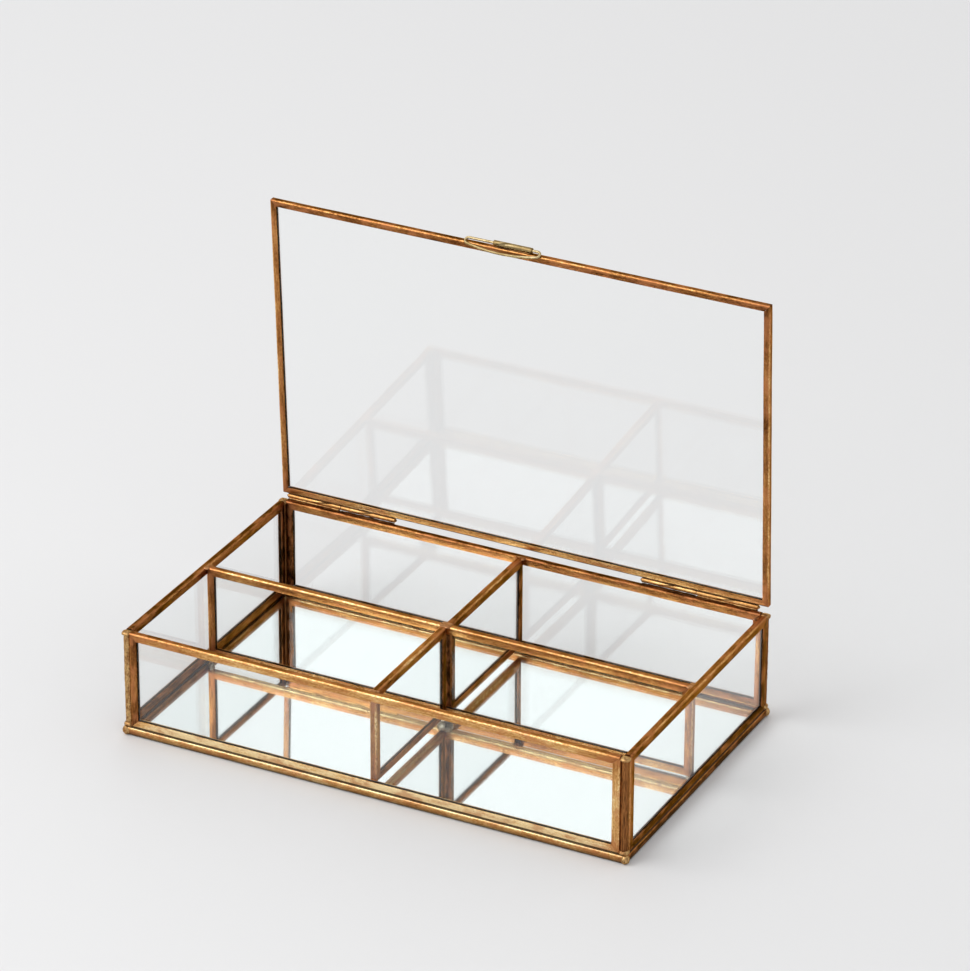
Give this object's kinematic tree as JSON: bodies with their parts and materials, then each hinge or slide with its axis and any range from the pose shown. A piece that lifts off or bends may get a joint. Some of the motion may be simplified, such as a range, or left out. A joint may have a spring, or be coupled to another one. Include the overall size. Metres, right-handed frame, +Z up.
{
  "type": "jewelry box",
  "caption": "Low divided jewelry box: glass panes edged in folded brass channel, mirror floor, crossing glass dividers, hinged glass lid with a wire pull.",
  "frame": {"origin": "on the table, under the middle of the box", "axes": "+X to the right seen from the front, +Y from the front wall to the hinges, +Z up"},
  "size_m": [0.2806, 0.1688, 0.2361],
  "materials": {
    "brass_channel": "mottled antique brass, satin",
    "brass_tube_and_wire": "darkened antique brass, satin",
    "clear_glass": "clear, polished",
    "mirror": "silvered, polished"
  },
  "bodies": {
    "box": {"base_mirror_pane": "mirror", "base_mirror_back_rail": "brass_channel", "base_mirror_front_rail": "brass_channel", "base_mirror_left_rail": "brass_channel", "base_mirror_right_rail": "brass_channel", "front_wall_pane": "clear_glass", "front_wall_top_rail": "brass_channel", "front_wall_bottom_rail": "brass_channel", "front_wall_left_upright": "brass_channel", "front_wall_right_upright": "brass_channel", "back_wall_pane": "clear_glass", "back_wall_top_rail": "brass_channel", "back_wall_bottom_rail": "brass_channel", "back_wall_left_upright": "brass_channel", "back_wall_right_upright": "brass_channel", "left_wall_pane": "clear_glass", "left_wall_top_rail": "brass_channel", "left_wall_bottom_rail": "brass_channel", "left_wall_front_upright": "brass_channel", "left_wall_back_upright": "brass_channel", "right_wall_pane": "clear_glass", "right_wall_top_rail": "brass_channel", "right_wall_bottom_rail": "brass_channel", "right_wall_front_upright": "brass_channel", "right_wall_back_upright": "brass_channel", "long_divider_pane": "clear_glass", "long_divider_top_rail": "brass_channel", "long_divider_bottom_rail": "brass_channel", "long_divider_left_upright": "brass_channel", "long_divider_right_upright": "brass_channel", "front_divider_pane": "clear_glass", "front_divider_top_rail": "brass_channel", "front_divider_bottom_rail": "brass_channel", "front_divider_wall_upright": "brass_channel", "front_divider_centre_upright": "brass_channel", "back_divider_pane": "clear_glass", "back_divider_top_rail": "brass_channel", "back_divider_bottom_rail": "brass_channel", "back_divider_wall_upright": "brass_channel", "back_divider_centre_upright": "brass_channel", "left_hinge_box_knuckle": "brass_tube_and_wire", "left_hinge_pin": "brass_tube_and_wire", "right_hinge_box_knuckle": "brass_tube_and_wire", "right_hinge_pin": "brass_tube_and_wire"},
    "lid": {"lid_pane": "clear_glass", "lid_front_rail": "brass_channel", "lid_rear_rail": "brass_channel", "lid_left_rail": "brass_channel", "lid_right_rail": "brass_channel", "left_hinge_lid_knuckle": "brass_tube_and_wire", "right_hinge_lid_knuckle": "brass_tube_and_wire", "pull_tube": "brass_tube_and_wire"},
    "pull": {"pull_wire": "brass_tube_and_wire"}
  },
  "joints": [
    {"name": "lid_hinge", "type": "hinge", "parent": "box", "child": "lid", "pos_m": [0, 0.0833, 0.0604], "axis": [1, 0, 0], "range_deg": [-18, 87]},
    {"name": "pull_swing", "type": "hinge", "parent": "lid", "child": "pull", "pos_m": [-0.0071, 0.07472, 0.23469], "axis": [-1, 0, 0], "range_deg": [0, 250]}
  ]
}
